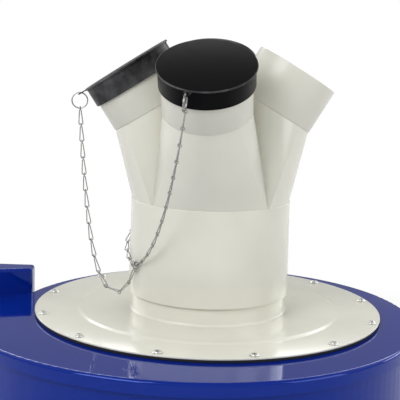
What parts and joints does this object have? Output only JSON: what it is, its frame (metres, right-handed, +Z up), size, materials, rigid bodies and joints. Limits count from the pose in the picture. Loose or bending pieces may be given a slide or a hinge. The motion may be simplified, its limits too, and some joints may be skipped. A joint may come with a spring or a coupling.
{
  "type": "inlet head of a woodworking dust collector",
  "caption": "Scroll fan housing with a round cover plate and a slip-on manifold of angled hose ports, closed by press-on caps on chains, one port open.",
  "frame": {"origin": "on the fan's axis, in the plane of the housing's flat underside", "axes": "+Z up along the neck, -Y towards the front port, +X towards the open port"},
  "size_m": [0.538, 0.494, 0.4634],
  "materials": {
    "housing_paint": "gloss royal blue enamel",
    "cream_paint": "semi-gloss cream enamel",
    "cap_plastic": "fine-grained black plastic",
    "gasket_rubber": "matt black",
    "zinc_wire": "bright zinc-plated wire"
  },
  "bodies": {
    "root": {"floor_plate": "housing_paint", "motor_plate": "housing_paint", "scroll_wall": "housing_paint", "lid": "housing_paint", "outlet_sill": "housing_paint", "outlet_duct": "housing_paint", "gasket": "gasket_rubber", "cover_plate": "cream_paint", "neck": "cream_paint", "sleeve": "cream_paint", "branch_right": "cream_paint", "branch_back": "cream_paint", "branch_left": "cream_paint", "branch_front": "cream_paint", "collar_right": "cream_paint", "collar_back": "cream_paint", "collar_left": "cream_paint", "collar_front": "cream_paint", "cap_back": "cap_plastic", "cap_left": "cap_plastic", "cap_front": "cap_plastic", "split_ring_back": "zinc_wire", "split_ring_left": "zinc_wire", "split_ring_front": "zinc_wire", "chain_back": "zinc_wire", "chain_left": "zinc_wire", "chain_front": "zinc_wire", "chain_stud": "zinc_wire", "chain_ring": "zinc_wire"}
  },
  "joints": []
}
